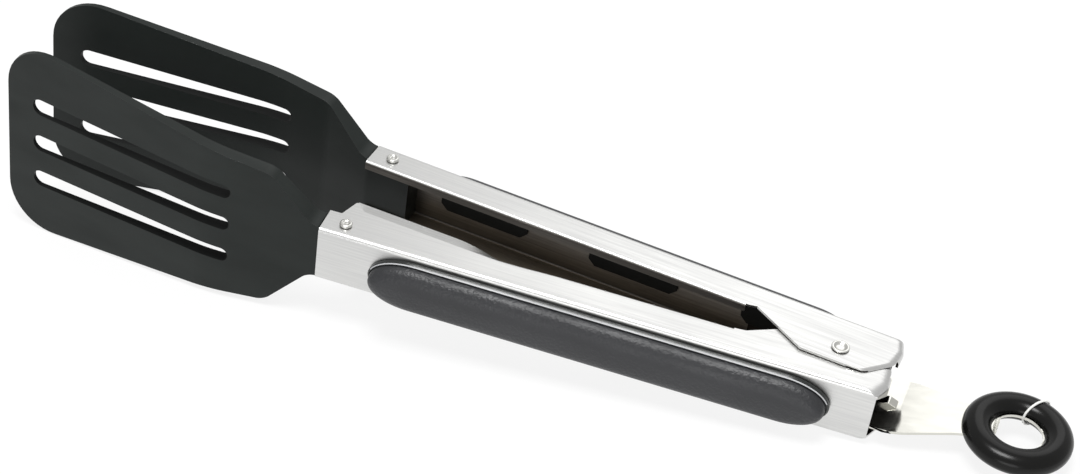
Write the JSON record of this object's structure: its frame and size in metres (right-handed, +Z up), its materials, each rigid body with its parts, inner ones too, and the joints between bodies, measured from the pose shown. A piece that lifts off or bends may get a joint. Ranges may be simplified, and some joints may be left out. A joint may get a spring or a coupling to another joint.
{
  "type": "locking barbecue tongs",
  "caption": "Locking barbecue tongs lying on their side: pressed steel arms with crowned grips, slotted turner heads and a lock plate drawn by a rubber ring.",
  "frame": {"origin": "centre of the bounding box, at the surface that the tongs lie on", "axes": "+X along the tongs towards the pull ring, +Y towards the far arm, +Z up, close to the pivot rivet's axis"},
  "size_m": [0.3596, 0.0588, 0.073],
  "materials": {
    "arm_steel": "lengthwise brushed stainless steel",
    "plate_steel": "smooth bright stainless steel",
    "rivet_steel": "tumbled bright steel",
    "spring_steel": "drawn spring wire",
    "blade_nylon": "satin moulded nylon",
    "grip_base": "satin moulded plastic",
    "grip_pad": "soft satin overmoulded rubber",
    "ring_rubber": "glossy moulded rubber",
    "tag_cord": "thin pale plastic thread"
  },
  "bodies": {
    "pivot": {"pivot_rivet": "rivet_steel", "torsion_spring": "spring_steel"},
    "near_side": {"near_arm": "arm_steel", "near_grip_base": "grip_base", "near_grip_pad": "grip_pad", "near_blade": "blade_nylon", "near_head_rivet": "rivet_steel"},
    "far_side": {"far_arm": "arm_steel", "far_grip_base": "grip_base", "far_grip_pad": "grip_pad", "far_blade": "blade_nylon", "far_head_rivet": "rivet_steel"},
    "pull_tab": {"lock_plate": "plate_steel", "pull_ring": "ring_rubber", "tag_loop": "tag_cord"}
  },
  "joints": [
    {"name": "near_arm_pivot", "type": "hinge", "parent": "pivot", "child": "near_side", "pos_m": [0.1032, 0, 0.01282], "axis": [0.0883, 0, 0.9961], "range_deg": [-2.75, 0], "stiffness_Nm_per_rad": 0.5, "springref_deg": 10.89, "deforming": ["torsion_spring"]},
    {"name": "far_arm_pivot", "type": "hinge", "parent": "pivot", "child": "far_side", "pos_m": [0.1032, 0, 0.01282], "axis": [0.0883, 0, 0.9961], "range_deg": [0, 2.75], "stiffness_Nm_per_rad": 0.5, "springref_deg": -10.89},
    {"name": "lock_plate_slide", "type": "slide", "parent": "pivot", "child": "pull_tab", "axis": [0.9961, 0, -0.0883], "range_m": [-0.008, 0]}
  ],
  "couplings": [
    {"joint": "far_arm_pivot", "follows": "near_arm_pivot", "ratio": -1}
  ]
}
